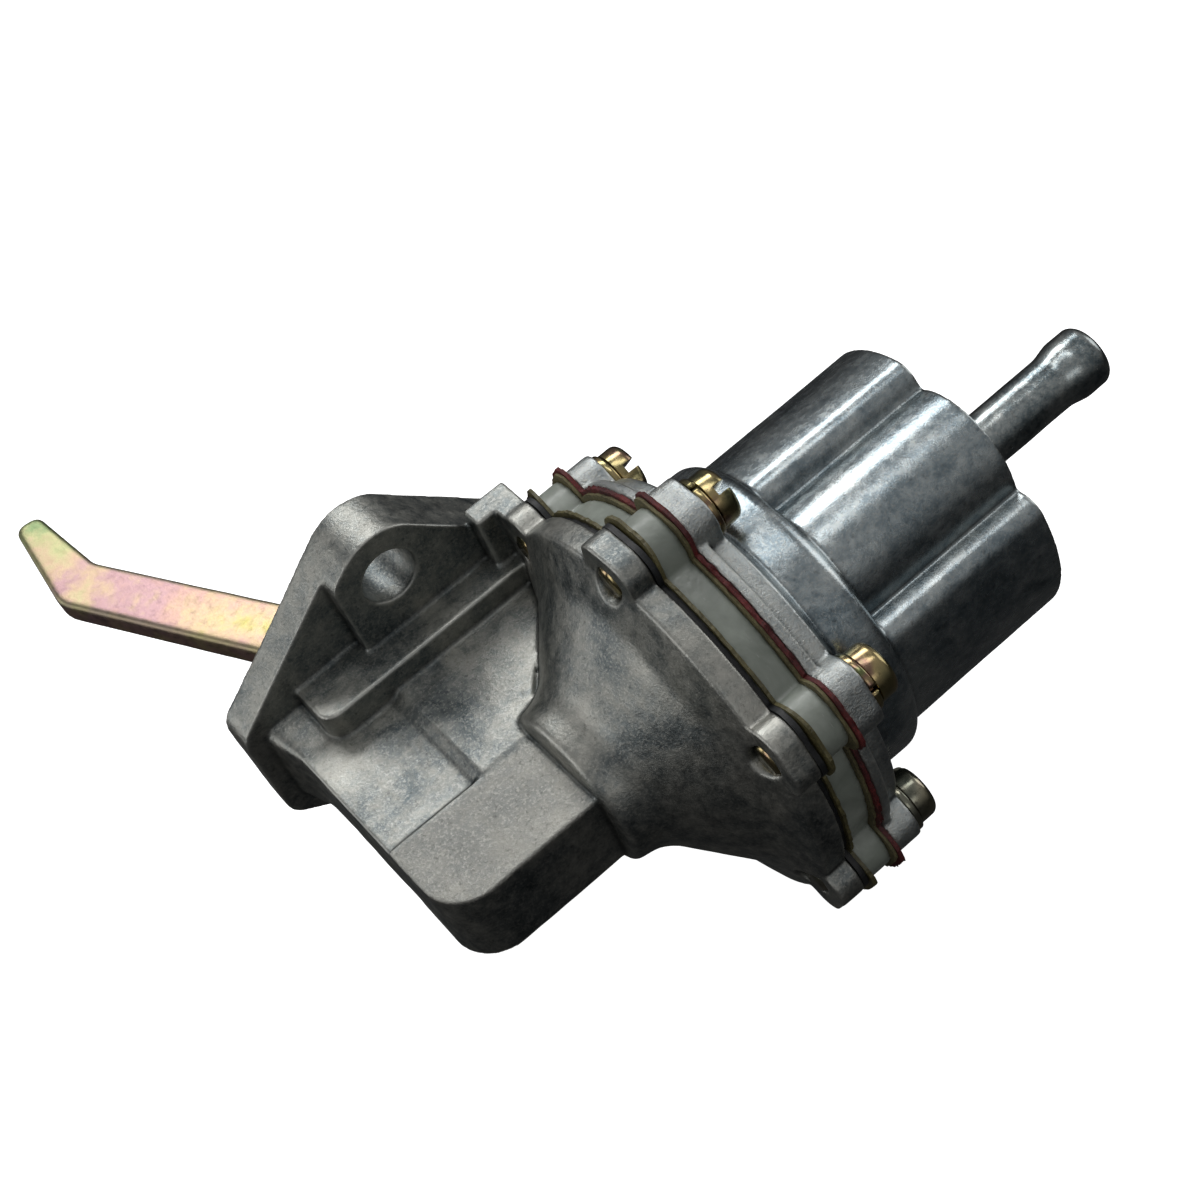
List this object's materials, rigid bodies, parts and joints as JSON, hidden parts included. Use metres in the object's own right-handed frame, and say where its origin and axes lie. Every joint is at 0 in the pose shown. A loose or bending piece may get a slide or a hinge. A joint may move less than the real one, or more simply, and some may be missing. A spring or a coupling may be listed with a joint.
{
  "type": "fuel pump",
  "caption": "Mechanical diaphragm fuel pump with a mounting flange, a bent rocker arm, a screwed diaphragm stack and a lobed dome with hose pipes.",
  "frame": {"origin": "centre of the flange's mounting face, midway between its bolt holes", "axes": "+X along the pump axis towards the outlet pipe, +Y the mounting face's outward normal, towards the engine, +Z along the line of the bolt holes"},
  "size_m": [0.127, 0.1431, 0.0814],
  "materials": {
    "zinc_casting": "as cast, mottled satin",
    "passivated_steel": "yellow passivated zinc plate",
    "plain_steel": "bright zinc plate",
    "spring_steel": "oiled drawn wire",
    "nylon": "milky translucent moulding",
    "black_rubber": "rubber on cloth",
    "olive_rubber": "rubber on cloth",
    "pale_fibre": "pressed fibre",
    "red_fibre": "proofed cloth",
    "brass_gauze": "fine woven wire"
  },
  "bodies": {
    "pump": {"lower_body": "zinc_casting", "upper_body": "zinc_casting", "outlet_pipe": "plain_steel", "inlet_pipe": "plain_steel", "guard_diaphragm": "black_rubber", "fuel_diaphragm": "olive_rubber", "valve_plate": "nylon", "plate_gasket": "pale_fibre", "cover_gasket": "red_fibre", "cover_screws": "passivated_steel", "spring_washers": "passivated_steel", "pivot_pin": "plain_steel", "pivot_washers": "plain_steel", "arm_return_spring": "spring_steel", "rod_seal": "black_rubber", "seal_retainer": "plain_steel", "diaphragm_spring": "spring_steel", "outlet_valve_spring": "spring_steel", "outlet_valve_cage": "nylon", "inlet_valve_spring": "spring_steel", "inlet_valve_seat": "nylon", "inlet_screen": "brass_gauze"},
    "arm": {"rocker_arm": "passivated_steel"},
    "link": {"link_lever": "plain_steel"},
    "diaphragm_rod": {"pull_rod": "plain_steel", "lower_disc": "plain_steel", "upper_disc": "plain_steel"},
    "outlet_valve": {"outlet_valve_disc": "black_rubber"},
    "inlet_valve": {"inlet_valve_disc": "black_rubber"}
  },
  "joints": [
    {"name": "arm_swing", "type": "hinge", "parent": "pump", "child": "arm", "pos_m": [-0.002, -0.0105, 0], "axis": [0, 0, -1], "range_deg": [0, 8], "stiffness_Nm_per_rad": 0.5, "springref_deg": -11.46, "deforming": ["arm_return_spring"]},
    {"name": "link_swing", "type": "hinge", "parent": "pump", "child": "link", "pos_m": [-0.002, -0.0105, 0], "axis": [0, 0, -1], "range_deg": [0, 8]},
    {"name": "rod_slide", "type": "slide", "parent": "pump", "child": "diaphragm_rod", "axis": [-1, 0, 0], "range_m": [0, 0.0045], "deforming": ["diaphragm_spring", "guard_diaphragm", "fuel_diaphragm"]},
    {"name": "outlet_lift", "type": "slide", "parent": "pump", "child": "outlet_valve", "axis": [1, 0, 0], "range_m": [0, 0.0014], "stiffness_N_per_m": 60, "springref_m": -0.002, "deforming": ["outlet_valve_spring"]},
    {"name": "inlet_lift", "type": "slide", "parent": "pump", "child": "inlet_valve", "axis": [-1, 0, 0], "range_m": [0, 0.0014], "stiffness_N_per_m": 60, "springref_m": -0.002, "deforming": ["inlet_valve_spring"]}
  ],
  "couplings": [
    {"joint": "link_swing", "follows": "arm_swing", "ratio": 1},
    {"joint": "rod_slide", "follows": "arm_swing", "m_per_rad": 0.0317}
  ]
}
